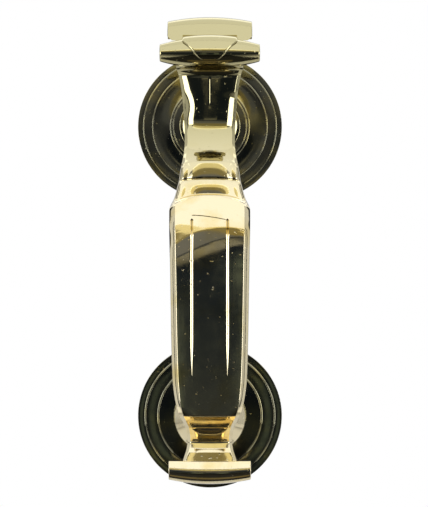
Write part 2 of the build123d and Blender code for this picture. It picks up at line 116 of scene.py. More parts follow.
def smooth_curve(*knots):
    """A function through the knots (x, y) that never overshoots between them."""
    x, y = np.array(sorted(knots), float).T
    steps = np.diff(x)
    slopes = np.diff(y) / steps
    tangents = np.concatenate([[slopes[0]], np.zeros(len(x) - 2), [slopes[-1]]])
    for i in range(1, len(x) - 1):
        before, after = slopes[i - 1], slopes[i]
        if before * after > 0:
            weights = 2 * steps[i] + steps[i - 1], steps[i] + 2 * steps[i - 1]
            tangents[i] = sum(weights) / (weights[0] / before + weights[1] / after)

    def value(at):
        at = np.clip(at, x[0], x[-1])
        i = np.clip(np.searchsorted(x, at) - 1, 0, len(x) - 2)
        h = steps[i]
        t = (at - x[i]) / h
        return (
            (1 + 2 * t) * (1 - t) ** 2 * y[i]
            + t * (1 - t) ** 2 * h * tangents[i]
            + t * t * (3 - 2 * t) * y[i + 1]
            + t * t * (t - 1) * h * tangents[i + 1]
        )

    return value


def evenly(points, spacing):
    """The same outline with points added about spacing apart, and none much closer together."""
    points = np.array(points, float)
    along = np.concatenate([[0], np.cumsum(np.linalg.norm(np.diff(points, axis=0), axis=1))])
    count = max(2, int(along[-1] / spacing) + 1)
    extra = np.linspace(0, along[-1], count)
    at = np.unique(np.round(np.concatenate([along, extra]), 6))
    kept = [at[0]]
    for a in at[1:]:
        if a - kept[-1] > spacing * 0.2:
            kept.append(a)
    return np.column_stack([np.interp(kept, along, points[:, i]) for i in range(points.shape[1])])


# ---- meshes ---------------------------------------------------------------------------------------
def mesh_piece(name, points, faces):
    """A smooth-shaded mesh object from (across, forward, up) points in millimetres."""
    points = np.asarray(points, float)
    mesh = bpy.data.meshes.new(name)
    placed = np.column_stack([points[:, 0], -points[:, 1], points[:, 2]]) * MM
    mesh.from_pydata(placed.tolist(), [], [list(map(int, f)) for f in faces])
    mesh.validate()
    piece = bpy.data.objects.new(name, mesh)
    bpy.context.scene.collection.objects.link(piece)
    tidy_mesh(piece)
    return piece


def tidy_mesh(piece):
    """Merges doubled points, turns every face outwards and keeps the real edges sharp."""
    work = bmesh.new()
    work.from_mesh(piece.data)
    bmesh.ops.remove_doubles(work, verts=work.verts, dist=SAME_POINT)
    bmesh.ops.dissolve_degenerate(work, edges=work.edges, dist=NO_LENGTH)
    bmesh.ops.recalc_face_normals(work, faces=work.faces)
    work.to_mesh(piece.data)
    work.free()
    piece.data.polygons.foreach_set("use_smooth", [True] * len(piece.data.polygons))
    piece.data.set_sharp_from_angle(angle=math.radians(SHARP_ANGLE))
    piece.data.update()


def skin(rings, closed_ends=True):
    """Points and faces of a surface through rings with the same number of points."""
    count = len(rings[0])
    faces = []
    for start in range(0, (len(rings) - 1) * count, count):
        for i in range(count):
            j = (i + 1) % count
            faces.append((start + i, start + j, start + count + j, start + count + i))
    if closed_ends:
        last = (len(rings) - 1) * count
        faces.append(tuple(range(count))[::-1])
        faces.append(tuple(range(last, last + count)))
    return np.concatenate(rings), faces


def turned(name, outline, up, steps=160):
    """A turned piece about a rose's axis: outline is (radius, forward) points, closed or axis to axis."""
    angles = np.arange(steps) * math.tau / steps
    rings = [
        np.column_stack([
            max(radius, TINY) * np.cos(angles),
            np.full(steps, forward),
            up + max(radius, TINY) * np.sin(angles),
        ])
        for radius, forward in outline
    ]
    closed = np.allclose(outline[0], outline[-1])
    return mesh_piece(name, *skin(rings, closed_ends=not closed))


def turned_across(name, outline, forward, up, steps=144):
    """A turned piece about an axis that lies across: outline is (across, radius) points."""
    angles = np.arange(steps) * math.tau / steps
    rings = [
        np.column_stack([
            np.full(steps, across),
            forward + max(radius, TINY) * np.cos(angles),
            up + max(radius, TINY) * np.sin(angles),
        ])
        for across, radius in outline
    ]
    return mesh_piece(name, *skin(rings))


def combine(piece, other, operation):
    """Joins other into piece, or cuts it out of piece, and removes other."""
    modifier = piece.modifiers.new("combine", "BOOLEAN")
    modifier.operation = operation
    modifier.solver = "EXACT"
    modifier.object = other
    graph = bpy.context.evaluated_depsgraph_get()
    made = bpy.data.meshes.new_from_object(piece.evaluated_get(graph))
    piece.modifiers.remove(modifier)
    piece.data = made
    bpy.data.objects.remove(other)


def finish_piece(piece, body, slot, material, *nodes):
    """Gives a piece its material, its body and the CAD nodes that it stands for."""
    piece.data.materials.clear()
    piece.data.materials.append(material)
    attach(piece, body)
    if nodes:
        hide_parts(*nodes)


# ---- materials ------------------------------------------------------------------------------------
# Nearly black, painted into the inner corners: grime, and painted shade in the gaps between parts.
GRIME_AND_SHADE = (0.05, 0.035, 0.018)
GRIME_AND_SHADE_REACH = 1.6  # millimetres out of an inner corner
CLEAN_BRASS = (0.84, 0.715, 0.43)
TARNISHED_BRASS = (0.76, 0.59, 0.24)
# A darker copy of the brass, painted over the upper neck, the hinge and the bracket: painted shade that
# tones down their reflections.
SHADED_UPPER_BRASS = (0.51, 0.445, 0.222)
UNSHADED_BELOW = -34.0  # painted shade: the metal is painted darker above this height than on the grip
SHADED_ABOVE = -4.0
NOISE_ROUGHNESS = 0.55


def nodes_of(name):
    """A new material with its nodes, its links and its shader."""
    material = bpy.data.materials.new(name)
    material.use_nodes = True
    tree = material.node_tree
    return material, tree.nodes, tree.links, tree.nodes["Principled BSDF"]


def noise(nodes, links, coordinates, scale, detail, stretch=(1, 1, 1)):
    """A noise texture over the piece, scale in features per metre."""
    mapping = nodes.new("ShaderNodeMapping")
    mapping.inputs["Scale"].default_value = stretch
    texture = nodes.new("ShaderNodeTexNoise")
    texture.inputs["Scale"].default_value = scale
    texture.inputs["Detail"].default_value = detail
    texture.inputs["Roughness"].default_value = NOISE_ROUGHNESS
    links.new(coordinates, mapping.inputs["Vector"])
    links.new(mapping.outputs["Vector"], texture.inputs["Vector"])
    return texture.outputs["Fac"]


def remapped(nodes, links, value, low, high, to_low, to_high):
    """value from low..high to to_low..to_high, clamped."""
    node = nodes.new("ShaderNodeMapRange")
    node.inputs["From Min"].default_value = low
    node.inputs["From Max"].default_value = high
    node.inputs["To Min"].default_value = to_low
    node.inputs["To Max"].default_value = to_high
    links.new(value, node.inputs["Value"])
    return node.outputs["Result"]


def mixed(nodes, links, first, second, share):
    """A colour mix: first is a colour or an output, second is a colour, share is an output."""
    mix = nodes.new("ShaderNodeMix")
    mix.data_type = "RGBA"
    if isinstance(first, tuple):
        mix.inputs["A"].default_value = (*first, 1)
    else:
        links.new(first, mix.inputs["A"])
    mix.inputs["B"].default_value = (*second, 1)
    links.new(share, mix.inputs["Factor"])
    return mix.outputs["Result"]


def bump(nodes, links, height, strength, distance, normal=None):
    """The normal of a surface roughened by height, distance in millimetres, on top of another normal."""
    node = nodes.new("ShaderNodeBump")
    node.inputs["Strength"].default_value = strength
    node.inputs["Distance"].default_value = distance * MM
    links.new(height, node.inputs["Height"])
    if normal is not None:
        links.new(normal, node.inputs["Normal"])
    return node.outputs["Normal"]


def upper_shade_share(nodes, links, coordinates):
    """0 on the grip, 1 well above it: how far painted shade darkens the metal there."""
    height = nodes.new("ShaderNodeSeparateXYZ")
    links.new(coordinates, height.inputs["Vector"])
    return remapped(nodes, links, height.outputs["Z"], UNSHADED_BELOW * MM, SHADED_ABOVE * MM, 0.0, 1.0)


def corner_grime_and_shade_share(nodes, links):
    """1 deep in the inner corners, 0 in the open: where grime and painted shade darken the metal."""
    corners = nodes.new("ShaderNodeAmbientOcclusion")
    corners.samples = 8
    corners.only_local = False
    corners.inputs["Distance"].default_value = GRIME_AND_SHADE_REACH * MM
    return remapped(nodes, links, corners.outputs["AO"], 0.28, 0.62, 1.0, 0.0)


def polished_metal(
    name, clean, tarnished, gloss=0.06, haze=0.12, wave=0.04, scratch=0.03, spots=0.62, shaded_upper=None,
):
    """Polished metal: two tones in soft patches, smudged gloss, hand-polishing waves and fine scratches,
    with grime and painted shade in the inner corners.

    gloss and haze are the least and the most roughness, spots is how rare the tarnish is, and shaded_upper
    is the darker colour painted over the metal above the grip: painted shade on the upper parts."""
    material, nodes, links, shader = nodes_of(name)
    shader.inputs["Metallic"].default_value = 1.0
    coordinates = nodes.new("ShaderNodeTexCoord").outputs["Object"]

    patches = noise(nodes, links, coordinates, 70.0, detail=6.0)
    tarnish = remapped(nodes, links, patches, spots - 0.12, spots + 0.12, 0.0, 1.0)
    colour = mixed(nodes, links, clean, tarnished, tarnish)
    # Painted shade: the metal is painted darker above the grip.
    if shaded_upper:
        colour = mixed(nodes, links, colour, shaded_upper, upper_shade_share(nodes, links, coordinates))
    # Grime and painted shade: nearly black in the inner corners and the gaps between parts.
    colour = mixed(nodes, links, colour, GRIME_AND_SHADE, corner_grime_and_shade_share(nodes, links))
    links.new(colour, shader.inputs["Base Color"])

    smudges = noise(nodes, links, coordinates, 160.0, detail=5.0)
    links.new(remapped(nodes, links, smudges, 0.35, 0.75, gloss, haze), shader.inputs["Roughness"])

    waves = noise(nodes, links, coordinates, 55.0, detail=2.0)
    scratches = noise(nodes, links, coordinates, 900.0, detail=3.0, stretch=(1, 1, 0.08))
    pits = remapped(nodes, links, noise(nodes, links, coordinates, 850.0, detail=1.0), 0.72, 0.80, 0.0, 1.0)
    normal = bump(nodes, links, waves, wave, 1.0)
    normal = bump(nodes, links, scratches, scratch, 0.1, normal)
    normal = bump(nodes, links, pits, 0.5, -0.1, normal)
    links.new(normal, shader.inputs["Normal"])
    return material


cast_brass = polished_metal("cast_brass", CLEAN_BRASS, TARNISHED_BRASS, shaded_upper=SHADED_UPPER_BRASS)
turned_brass = polished_metal("turned_brass", CLEAN_BRASS, TARNISHED_BRASS, wave=0.02)
# A much darker copy of the brass for the roses, with lighter gold patches: painted shade on the roses.
rose_brass = polished_metal(
    "rose_brass", (0.27, 0.25, 0.155), (0.52, 0.42, 0.15), gloss=0.07, haze=0.14, spots=0.58,
)
nut_brass = polished_metal(
    "nut_brass", (0.80, 0.65, 0.36), (0.55, 0.42, 0.22), gloss=0.22, haze=0.34, scratch=0.1,
)
washer_bronze = polished_metal(
    "washer_bronze", (0.66, 0.45, 0.26), (0.42, 0.28, 0.16), gloss=0.25, haze=0.4,
)
stud_steel = polished_metal(
    "stud_steel", (0.62, 0.62, 0.60), (0.45, 0.43, 0.38), gloss=0.22, haze=0.38, scratch=0.1,
)
pin_steel = polished_metal("pin_steel", (0.60, 0.60, 0.60), (0.50, 0.50, 0.48), gloss=0.14, haze=0.22)
screw_steel = polished_metal("screw_steel", (0.10, 0.10, 0.10), (0.16, 0.13, 0.11), gloss=0.3, haze=0.45)

# ---- roses ----------------------------------------------------------------------------------------
BORE_RADIUS = 6.0
NUT_RECESS_RADIUS = 10.5
NUT_RECESS_DEPTH = 5.0
EDGE = 0.35  # rounding of a polished edge
ROSE_EDGE = 0.15


def rose(name, up, front):
    """A turned rose with a recess for the nut behind; front runs from the rim in to the seat."""
    back = [
        (BORE_RADIUS, NUT_RECESS_DEPTH), (NUT_RECESS_RADIUS, NUT_RECESS_DEPTH),
        (NUT_RECESS_RADIUS, 0.0), (ROSE_RADIUS, 0.0),
    ]
    outline = softened(back + front + [(BORE_RADIUS, ROSE_SEAT), back[0]], ROSE_EDGE)
    outline[-1] = outline[0]
    return turned(name, outline, up, steps=224)


def top_rose_front():
    """Flat rings between small quarter-round steps, then the shallow dish and the seat."""
    front = [(ROSE_RADIUS, 2.78), (29.75, 2.7)]
    front += arc(front[-1], (29.45, 2.88), (29.3, 3.3), 8)
    front += [(29.3, 3.68), (25.65, 3.56)]
    front += arc(front[-1], (25.35, 3.78), (25.2, 4.2), 8)
    front += [(25.2, 4.5)]
    front += arc(front[-1], (21.5, 4.35), (17.7, 4.75), 24)
    front += arc(front[-1], (17.4, 5.0), (17.3, 5.5), 8)
    front += [(17.3, 7.6), (16.4, 7.62)]
    front += arc(front[-1], (16.1, 8.0), (16.0, ROSE_SEAT), 8)
    return front


def bottom_rose_front():
    """The same rings worn softer, with a flat between them and the seat."""
    front = [(ROSE_RADIUS, 2.62), (29.1, 2.54)]
    front += arc(front[-1], (28.65, 2.85), (28.4, 3.4), 10)
    front += [(28.4, 3.72), (23.4, 3.6)]
    front += arc(front[-1], (22.9, 3.95), (22.6, 4.5), 10)
    front += [(22.6, 4.7), (15.9, 4.9), (15.8, ROSE_SEAT)]
    return front


top_rose = rose("top_rose_turned", 0.0, top_rose_front())
finish_piece(top_rose, "mounting", "rose_brass", rose_brass, "top_rose")
bottom_rose = rose("bottom_rose_turned", -FIXING_CENTRES, bottom_rose_front())
finish_piece(bottom_rose, "mounting", "rose_brass", rose_brass, "bottom_rose")

# ---- rolls ----------------------------------------------------------------------------------------
HINGE_MIDDLE_RADIUS = 6.6
HINGE_END_RADIUS = 3.6
ROLL_GAP = 0.35  # between the turning roll and the bracket round it


def barrel_outline(half_width, middle_radius, end_radius, edge=0.5):
    """(across, radius) points of a crowned roll with flat ends, whose edges are rounded by edge."""
    crown = arc((-half_width, end_radius), (0, middle_radius), (half_width, end_radius), 56)
    return softened([(-half_width, 0), (-half_width, end_radius)] + crown + [(half_width, 0)], edge)


def hinge_roll_radius(across):
    """Radius of the hinge roll's crowned surface at a distance from its middle."""
    rise = HINGE_MIDDLE_RADIUS - HINGE_END_RADIUS
    bow = (HINGE_HALF_WIDTH**2 + rise**2) / (2 * rise)
    return HINGE_MIDDLE_RADIUS - bow + math.sqrt(bow**2 - across**2)


def barrel_radius(across, half_width, middle_radius, end_radius):
    """Radius of a crowned roll's body at a distance from its middle, as if it had no rounded edges."""
    return middle_radius - (middle_radius - end_radius) * (across / half_width) ** 2


def block_between(name, outline, half_width):
    """A straight block with this (forward, up) outline, both ways from the middle."""
    rings = [np.array([(side * half_width, f, u) for f, u in outline]) for side in (-1, 1)]
    return mesh_piece(name, *skin(rings))


def round_the_pin(radius, start, end):
    """(forward, up) points on a circle about the pin; 0 degrees is straight forward, 90 is up."""
    turns = np.radians(np.linspace(start, end, 30))
    return [(PIVOT_FORWARD + radius * math.cos(t), PIVOT_UP + radius * math.sin(t)) for t in turns]


def disc_at_pin(radius):
    return round_the_pin(radius, 0, 352)


def pin_space(radius, reach):
    """What the pin takes out of a piece, both ways from the middle."""
    outline = [(-reach, 0), (-reach, radius), (reach, radius), (reach, 0)]
    return turned_across("pin_space", outline, PIVOT_FORWARD, PIVOT_UP, 48)


# ---- handle ---------------------------------------------------------------------------------------
PIN_PRESS_RADIUS = 2.03  # of the bore that holds the pin
SLOT_HALF_WIDTH = 5.0
SLOT_START, SLOT_END = -10, 205  # degrees round the pin
SLOT_REACH = 13.0
LUG_POCKET_RADIUS = 4.8
SET_SCREW_PLACE = 12.0
SET_SCREW_RADIUS = 1.52
SET_SCREW_SPACE = 1.9, 9.0  # from inside the pin's bore to behind the roll

FACE_FORWARD = 62.0  # at the foremost point of the grip
FACE_SKEW = 0.42  # the crown was filed by hand: its flat starts lower on the left
GRIP_TOP = -33.0
GRIP_END = -124.3
GROOVE_TOP = -41.2
GROOVE_END = -110.5
GROOVE_PLACE = 7.5
GROOVE_PLACE_LIMIT = 0.56  # of the flat's half width, where that is narrow
GROOVE_HALF_WIDTH = 0.65
PANEL_LINE_SLOPE = -0.14  # the panel's top line was cut by hand and falls to the right
PANEL_LINE_HALF_WIDTH = 0.3
PANEL_LINE_DEPTH = 0.2
SEAM_HALF_WIDTH = 0.35
SEAM_DEPTH = 0.15  # a casting seam down the middle of the neck, not quite filed away
CROWN_POWER = 3
ARCH_POWER = 2.5
BACK_ROUNDING = 1.2
LEAST_DEPTH = 3.0  # from its front to its back
LEFT, RIGHT = -1, 1

FOOT_FORWARD = 48.0
FOOT_TOP = -144.1
FOOT_HALF_WIDTH = 17.4
FOOT_MIDDLE_RADIUS = 4.95
FOOT_END_RADIUS = 4.0

# Each of these is a function of the height: from the hinge roll at the top, by way of the neck, the cove,
# the bead, the grip and the lower neck, to the foot roll.
handle_half_width = smooth_curve(
    (30, 14.6), (23.5, 14.3), (19.3, 13.2), (14.6, 12.3), (8.6, 11.64), (1.8, 11.15), (-3.7, 10.8),
    (-8, 10.75), (-12.5, 10.95), (-17, 11.6), (-21.8, 12.6), (-24.2, 12.85), (-29.7, 14.1), (-33, 15.1),
    (-36.2, 16.6), (-38.6, 17.05), (-60, 16.65), (-109, 15.6), (-117.2, 14.6), (-122.2, 13.4),
    (-128.5, 10.9), (-132, 9.75), (-136, 9.45), (-139.8, 10.0), (-142, 10.7), (-144.1, 11.4), (-146, 12.4),
)
handle_back = smooth_curve(
    (30, 38.5), (24.8, 37.9), (10, 34.6), (0, 33.0), (-10, 33.6), (-18, 36.0), (-34, 43.0), (-50, 46.0),
    (-104, 44.2), (-112, 40.0), (-119, 33.6), (-121, 33.0), (-136, 33.0), (-138, 34.0), (-142, 41.0),
    (-147, 44.5),
)
bevel_across = smooth_curve(
    (30, 1.3), (-10, 1.2), (-16, 1.4), (-18, 3.4), (-24, 3.4), (-31.6, 4.6), (-32.5, 4.6), (-33, 2.5),
    (-110, 2.5), (-124, 1.7), (-134, 1.3), (-147, 1.0),
)
corner_roundness = smooth_curve(
    (30, 0), (-16, 0), (-18, 1), (-32.5, 1), (-33, 0.15), (-110, 0.15), (-126, 0), (-147, 0),
)
crown = smooth_curve(
    (30, 2.0), (0, 2.0), (-12, 1.4), (-16, 1.1), (-18, 1.8), (-24, 1.8), (-32, 1.5), (-33, 0.3), (-48, 0.1),
    (-56, 0.045), (-120, 0.045), (-126, 0.3), (-135, 1.0), (-147, 1.0),
)
crown_share = {  # the two sides of the neck were filed by hand, and not alike
    LEFT: smooth_curve((30, 1), (19, 1), (14, 1.05), (7, 1.5), (1, 1.15), (-6, 1), (-200, 1)),
    RIGHT: smooth_curve((30, 1), (20, 0.6), (13, 0.6), (9.5, 0.95), (-6, 1), (-200, 1)),
}
arch = smooth_curve(  # how far a moulding that bows up in the middle falls at its sides
    (30, 0), (-6, 0.3), (-17, 2.6), (-23.6, 0.9), (-28, 1.6), (-33, 4.2), (-48, 2.0), (-62, 0),
)
seam_share = smooth_curve((30, 0), (19.5, 0), (18, 1), (8, 1), (5, 0), (-200, 0))
groove_share = smooth_curve(
    (-200, 0), (GROOVE_END, 0), (-92, 1), (GROOVE_TOP - 0.8, 1), (GROOVE_TOP, 0), (0, 0),
)
groove_depth = smooth_curve((-200, 0.33), (-50, 0.33), (-46, 0.8), (0, 0.8))  # cut deeper where it starts
face_slope = smooth_curve(
    (GRIP_TOP, 0.42), (-45.6, 0.24), (-46.3, 0.115), (-46.8, 0.1), (-51.6, 0.06), (-52.2, 0.0156),
    (-56.2, 0.0026), (-60.0, -0.026), (GRIP_END, -0.026),
)
face_skew_share = smooth_curve((0, 0), (-39, 0), (-54, 1), (-66, 1), (-84, 0), (-200, 0))

face_heights = np.linspace(GRIP_TOP, GRIP_END, 1200)
face_profile = -np.concatenate([[0], np.cumsum(np.diff(face_heights) * face_slope(face_heights[1:]))])
face_profile += FACE_FORWARD - face_profile.max()


def face_forward(up):
    """How far forward the middle of the grip's face is, at a height."""
    return np.interp(-np.asarray(up, float), -face_heights, face_profile)


def face_twist(across, up):
    """What the skewed crown adds to the face there."""
    skewed = up - FACE_SKEW * float(face_skew_share(up)) * across
    return face_forward(skewed) - face_forward(up)


def handle_front_outline():
    """(forward, up) points down the middle of the handle's front."""
    path = [(46.0, PIVOT_UP - 1), (48.3, PIVOT_UP - 5.6)]
    path += [(46.6, PIVOT_UP - 6.3), (44.9, PIVOT_UP - 6.75)]  # inside the leaf when the handle is up
    path += arc(path[-1], (43.6, 20.6), (43.2, 18.6), 12)
    path += [(42.1, 1.5)]
    path += arc(path[-1], (45.0, -10.4), (51.8, -17.2), 28)
    path += [(52.4, -17.9)]
    path += arc(path[-1], (52.87, -21.04), (53.13, -24.2), 14)
    path += [(52.7, -24.7)]
    path += arc(path[-1], (53.78, -25.62), (54.4, -26.9), 14)
    path += arc(path[-1], (54.75, -29.04), (54.89, -31.2), 14)
    path += [(55.0, -31.3), (56.1, -31.8), (56.6, -32.4)]
    path += [(float(face_forward(up)), up) for up in np.linspace(GRIP_TOP, GRIP_END, 180)]
    path += arc(path[-1], (57.0, -126.6), (53.4, -129.2), 14)
    path += [(52.4, -129.9), (47.2, -136.1), (47.15, -136.6), (47.75, -138.9), (48.6, -140.5)]
    return softened(path + [(49.4, -144.3), (49.4, -146.5)], 0.3)


def corner_curve(start, corner, end, roundness, count=7):
    """Points between start and end: along a straight bevel at 0, round the corner at 1."""
    start, corner, end = (np.array(p) for p in (start, corner, end))
    control = (start + end) / 2 * (1 - roundness) + corner * roundness
    shares = np.linspace(0.12, 0.88, count)[:, None]
    return list((1 - shares) ** 2 * start + 2 * shares * (1 - shares) * control + shares**2 * end)


def front_of_half_section(forward, up, side, flat):
    """(across, forward) points from the middle to the edge of the flat, with all that is cut in it."""
    share = float(groove_share(up))
    place = min(GROOVE_PLACE, GROOVE_PLACE_LIMIT * flat)
    reach = max(GROOVE_HALF_WIDTH * share, 0.06)
    across = np.concatenate([
        [0, SEAM_HALF_WIDTH],
        np.linspace(0.8, place - 1.3 * reach, 12),
        place + reach * np.array([-1.0, -0.5, -0.03, 0.03, 0.5, 1.0]),
        np.linspace(place + 1.3 * reach, flat - 0.4, 11),
    ])
    bow = float(crown(up)) * float(crown_share[side](up)) * (across / flat) ** CROWN_POWER
    groove = np.clip(1 - np.abs(across - place) / reach, 0, 1) * float(groove_depth(up)) * share
    seam = np.clip(1 - across / SEAM_HALF_WIDTH, 0, 1) * SEAM_DEPTH * float(seam_share(up))
    from_line = np.abs(up - (GROOVE_TOP + PANEL_LINE_SLOPE * side * across))
    on_panel = across < place - reach
    line = np.clip(1 - from_line / PANEL_LINE_HALF_WIDTH, 0, 1) * PANEL_LINE_DEPTH * on_panel
    return list(zip(across, forward - bow - groove - seam - line))


def half_section(forward, up, side):
    """One side of a ring of the handle, from the middle of its front round to the middle of its back."""
    half = float(handle_half_width(up - arch(up)))
    back = min(float(handle_back(up)), forward - LEAST_DEPTH)
    bevel = float(bevel_across(up))
    flat = half - bevel
    edge_forward = forward - float(crown(up)) * float(crown_share[side](up))
    lip = (flat, edge_forward)
    shoulder = (half, edge_forward - bevel)
    heel = (half, back + BACK_ROUNDING)
    tail = (half - BACK_ROUNDING, back)
    turn = corner_curve(lip, (half, edge_forward), shoulder, float(corner_roundness(up)))
    ring = front_of_half_section(forward, up, side, flat)
    ring += round_corner(ring[-1], lip, turn[0], 0.35) + turn
    ring += round_corner(turn[-1], shoulder, heel, 0.35)
    ring += [(half, f) for f in np.linspace(shoulder[1] - 0.6, heel[1] + 0.6, 8)]
    ring += round_corner(shoulder, heel, tail, 0.5)
    ring += round_corner(heel, tail, (0, back), 0.5)
    ring += [(a, back) for a in np.linspace(tail[0] - 1.0, 0, 9)]
    return np.array(ring)


def section(forward, up):
    """One ring of the handle: its outline seen from above, at one height."""
    right = half_section(forward, up, RIGHT)
    left = half_section(forward, up, LEFT)[1:-1][::-1] * (-1, 1)
    ring = np.concatenate([right, left])
    half = float(handle_half_width(up - arch(up)))
    if up < GRIP_TOP:
        on_face = ring[:, 1] > forward - float(crown(up)) - float(bevel_across(up)) - 0.1
        ring[:, 1] += face_twist(ring[:, 0], up) * on_face
    lift = -float(arch(up)) * np.clip(np.abs(ring[:, 0]) / half, 0, 1) ** ARCH_POWER
    return np.column_stack([ring, up + lift])


def make_handle():
    """The casting: a skin over the sections, the two rolls, and the spaces for the lug, pin and screws."""
    path = evenly(handle_front_outline(), 0.45)
    at_panel_line = GROOVE_TOP + np.arange(-1.5, 1.5, 0.15)  # finer sections where the line is cut
    extra = [(np.interp(-up, -path[:, 1], path[:, 0]), up) for up in at_panel_line]
    path = np.array(sorted(list(map(tuple, path)) + extra, key=lambda p: -p[1]))
    handle = mesh_piece("handle_casting", *skin([section(f, u) for f, u in path]))
    roll_outline = barrel_outline(HINGE_HALF_WIDTH, HINGE_MIDDLE_RADIUS, HINGE_END_RADIUS)
    combine(handle, turned_across("roll", roll_outline, PIVOT_FORWARD, PIVOT_UP), "UNION")
    combine(handle, foot_roll(), "UNION")
    slot = round_the_pin(SLOT_REACH, SLOT_START, SLOT_END) + [(PIVOT_FORWARD, PIVOT_UP)]
    combine(handle, block_between("slot", slot, SLOT_HALF_WIDTH), "DIFFERENCE")
    combine(handle, block_between("pocket", disc_at_pin(LUG_POCKET_RADIUS), SLOT_HALF_WIDTH), "DIFFERENCE")
    combine(handle, pin_space(PIN_PRESS_RADIUS, HINGE_HALF_WIDTH + 0.7), "DIFFERENCE")
    for side in (LEFT, RIGHT):
        combine(handle, screw_space(side * SET_SCREW_PLACE), "DIFFERENCE")
    tidy_mesh(handle)
    return handle


def screw_space(across):
    """What one set screw takes out of the hinge roll, in from its back."""
    angles = np.arange(32) * math.tau / 32
    rings = [
        np.column_stack([
            across + SET_SCREW_RADIUS * np.cos(angles),
            np.full(len(angles), PIVOT_FORWARD - reach),
            PIVOT_UP + SET_SCREW_RADIUS * np.sin(angles),
        ])
        for reach in SET_SCREW_SPACE
    ]
    return mesh_piece("screw_space", *skin(rings))


def foot_section():
    """The foot roll's (forward, up) outline for a radius of 1: round, with a sloping shoulder in front."""
    turns = np.radians(np.linspace(90, 378, 110))
    round_part = [(math.cos(t), math.sin(t)) for t in turns]
    shoulder = arc(round_part[-1], (0.80, 0.665), (0.60, 1.0), 12)
    corner = round_corner(shoulder[-2], shoulder[-1], (0.1, 1.0), 0.06)
    return np.array(round_part + shoulder[:-1] + corner + [(0.3, 1.0)])


def foot_roll():
    """A roll with a straight top edge and a bellied underside."""
    forward, up = foot_section().T
    rings = []
    for across, radius in barrel_outline(FOOT_HALF_WIDTH, FOOT_MIDDLE_RADIUS, FOOT_END_RADIUS):
        radius = max(radius, TINY)
        centre_up = FOOT_TOP - barrel_radius(across, FOOT_HALF_WIDTH, FOOT_MIDDLE_RADIUS, FOOT_END_RADIUS)
        rings.append(np.column_stack([
            np.full(len(up), across), FOOT_FORWARD + radius * forward, centre_up + radius * up,
        ]))
    return mesh_piece("foot", *skin(rings))


handle = make_handle()
finish_piece(handle, "knocker", "cast_brass", cast_brass, "handle")

# ---- hinge bracket --------------------------------------------------------------------------------
SCROLL_FORWARD = 31.5
SCROLL_UP = 37.2
SCROLL_MIDDLE_RADIUS = 8.3
SCROLL_END_RADIUS = 6.4
SCROLL_UNDERSIDE = 34.6
SCROLL_LIP_TILT = 22.0  # of the straight lip below the round front, in degrees back from upright
SCROLL_CORNER = 2.0  # cut off the lower corners of its ends
ARM_CORNER = 2.0
BOSS_RADIUS = 13.4
BOSS_TOP = 15.5
SPIGOT_RADIUS = BORE_RADIUS
SPIGOT_BACK = 0.5

LEAF_THICKNESS = 0.8
LEAF_BEVEL = 0.5  # width of the bevel along its edge
LEAF_EDGE_SHARE = 0.45  # of the thickness, left at the edge
LEAF_TIP_ANGLE = -31.0
LEAF_TIP_TAPER = 4.0  # degrees over which the tip grows from half its thickness
LEAF_ROOT_ANGLE = 140.0
leaf_half_width = smooth_curve(  # against the angle about the pin
    (-31, 0.3), (-30.8, 1.2), (-30.2, 2.1), (-28.4, 3.2), (-25.3, 4.1), (-19, 5.05), (-12.7, 5.95),
    (0, 7.2), (7, 7.95), (25, 9.7), (44, 11.4), (60, 11.8), (170, 11.8),
)

BRIDGE_HALF_WIDTH = 11.6
WEB_HALF_WIDTH = 4.7
WEB_START, WEB_END = 54, 195  # degrees round the pin
WEB_RADIUS = HINGE_MIDDLE_RADIUS + ROLL_GAP + 0.4  # reaches into the middle of the leaf
WEB_INNER_RADIUS = 4.0
LUG_RADIUS = 4.5
LUG_HALF_WIDTH = 4.0
PIN_TURN_RADIUS = 2.06  # of the bore that turns on the pin


def leaf_section(angle, shares):
    """(across, distance from the pin) points round the leaf at one angle; shares run across its width."""
    half = float(leaf_half_width(angle))
    across = shares * half
    under = np.array([hinge_roll_radius(a) for a in across]) + ROLL_GAP
    from_edge = np.clip((half - np.abs(across)) / LEAF_BEVEL, 0, 1)
    tip_share = min(1.0, (angle - LEAF_TIP_ANGLE) / LEAF_TIP_TAPER)
    thickness = LEAF_THICKNESS * (LEAF_EDGE_SHARE + (1 - LEAF_EDGE_SHARE) * from_edge)
    over = under + thickness * (0.5 + 0.5 * tip_share)
    return np.concatenate([np.column_stack([across, over]), np.column_stack([across, under])[::-1]])


def leaf():
    """The tongue that laps over the hinge roll: a thin shell about the pin, with a bevelled edge."""
    shares = np.concatenate([[-1, -0.985, -0.96], np.linspace(-0.9, 0.9, 31), [0.96, 0.985, 1]])
    rings = []
    angles = np.concatenate([np.linspace(LEAF_TIP_ANGLE, -28, 14), np.linspace(-27.5, LEAF_ROOT_ANGLE, 80)])
    for angle in angles:
        across, radius = leaf_section(angle, shares).T
        turn = math.radians(angle)
        rings.append(np.column_stack([
            across, PIVOT_FORWARD + radius * math.cos(turn), PIVOT_UP + radius * math.sin(turn),
        ]))
    return mesh_piece("leaf", *skin(rings))


def rounded_bar(name, stations, corner):
    """A bar with a rounded rectangular section; stations are (forward, up, half width, half thickness)."""
    stations = np.array(stations, float)
    tangents = np.gradient(stations[:, :2], axis=0)
    tangents /= np.linalg.norm(tangents, axis=1)[:, None]
    rings = []
    for (forward, up, half_width, half_thickness), tangent in zip(stations, tangents):
        normal = np.array([tangent[1], -tangent[0]])
        signs = ((1, -1), (1, 1), (-1, 1), (-1, -1))
        corners = [(side * half_width, end * half_thickness) for side, end in signs]
        ring = []
        for i, point in enumerate(corners):
            ring += round_corner(corners[i - 1], point, corners[(i + 1) % 4], corner, 6)
        ring = np.array(ring)
        rings.append(np.column_stack([
            ring[:, 0], forward + ring[:, 1] * normal[0], up + ring[:, 1] * normal[1],
        ]))
    return mesh_piece(name, *skin(rings))


